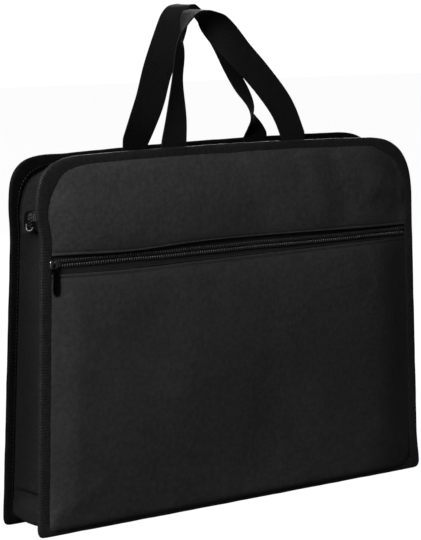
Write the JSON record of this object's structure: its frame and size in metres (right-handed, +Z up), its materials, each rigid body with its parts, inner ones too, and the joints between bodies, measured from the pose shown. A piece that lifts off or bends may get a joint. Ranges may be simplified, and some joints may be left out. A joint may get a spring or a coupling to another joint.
{
  "type": "portfolio case",
  "caption": "Slim zipped portfolio case of black cloth with bound front and back panels, gusseted sides, a zipped front pocket and webbing carry handles.",
  "frame": {"origin": "on the ground, under the middle of the case", "axes": "+X to the right seen from the front, front towards -Y, +Z up"},
  "size_m": [0.4014, 0.0559, 0.4173],
  "materials": {
    "case_cloth": "matt woven polyester cloth",
    "gusset_cloth": "matt woven polyester cloth",
    "lining_cloth": "thin plain-woven lining cloth",
    "binding_tape": "ribbed grosgrain binding tape",
    "board": "thin stiff sheet",
    "zip_tape": "herringbone woven tape",
    "zip_coil": "satin nylon coil",
    "slider_metal": "worn dark nickel plate",
    "pull_metal": "black enamel",
    "handle_web": "heavy ribbed webbing"
  },
  "bodies": {
    "case": {"front_yoke_panel": "case_cloth", "front_pocket_panel": "case_cloth", "back_panel": "case_cloth", "pocket_back_panel": "lining_cloth", "front_board": "board", "back_board": "board", "front_lining": "lining_cloth", "back_lining": "lining_cloth", "left_gusset": "gusset_cloth", "right_gusset": "gusset_cloth", "bottom_gusset": "gusset_cloth", "front_binding": "binding_tape", "back_binding": "binding_tape", "pocket_tape_upper": "zip_tape", "pocket_tape_lower": "zip_tape", "pocket_coil_upper": "zip_coil", "pocket_coil_lower": "zip_coil", "left_zip_end": "zip_tape", "right_zip_end": "zip_tape", "left_coil_end": "zip_coil", "right_coil_end": "zip_coil", "left_zip_stop": "slider_metal", "right_zip_stop": "slider_metal", "front_handle_end_left": "handle_web", "front_handle_end_right": "handle_web", "back_handle_end_left": "handle_web", "back_handle_end_right": "handle_web"},
    "front_flap": {"front_zip_facing": "lining_cloth", "front_zip_tape": "zip_tape", "front_zip_coil": "zip_coil"},
    "back_flap": {"back_zip_facing": "lining_cloth", "back_zip_tape": "zip_tape", "back_zip_coil": "zip_coil"},
    "mouth_slider": {"mouth_slider": "slider_metal"},
    "mouth_pull": {"mouth_pull": "pull_metal"},
    "pocket_slider": {"pocket_slider": "slider_metal"},
    "pocket_pull": {"pocket_pull": "pull_metal"},
    "front_handle": {"front_handle": "handle_web"},
    "back_handle": {"back_handle": "handle_web"}
  },
  "joints": [
    {"name": "front_flap_swing", "type": "hinge", "parent": "case", "child": "front_flap", "pos_m": [0, -0.01722, 0.25605], "axis": [1, 0, 0], "range_deg": [0, 75]},
    {"name": "back_flap_swing", "type": "hinge", "parent": "case", "child": "back_flap", "pos_m": [0, 0.01722, 0.25605], "axis": [-1, 0, 0], "range_deg": [0, 75]},
    {"name": "mouth_slider_travel", "type": "slide", "parent": "case", "child": "mouth_slider", "axis": [-1, 0, 0], "range_m": [0, 0.3376]},
    {"name": "mouth_pull_swing", "type": "hinge", "parent": "mouth_slider", "child": "mouth_pull", "pos_m": [0.1654, 0, 0.25975], "axis": [0, -1, 0], "range_deg": [0, 170]},
    {"name": "pocket_slider_travel", "type": "slide", "parent": "case", "child": "pocket_slider", "axis": [1, 0, 0], "range_m": [0, 0.366]},
    {"name": "pocket_pull_swing", "type": "hinge", "parent": "pocket_slider", "child": "pocket_pull", "pos_m": [-0.18454, -0.02628, 0.21704], "axis": [-1, 0, 0], "range_deg": [0, 150]},
    {"name": "front_handle_fold", "type": "hinge", "parent": "case", "child": "front_handle", "pos_m": [0, -0.02065, 0.306], "axis": [1, 0, 0], "range_deg": [0, 160]},
    {"name": "back_handle_fold", "type": "hinge", "parent": "case", "child": "back_handle", "pos_m": [0, 0.02065, 0.306], "axis": [-1, 0, 0], "range_deg": [0, 160]}
  ]
}
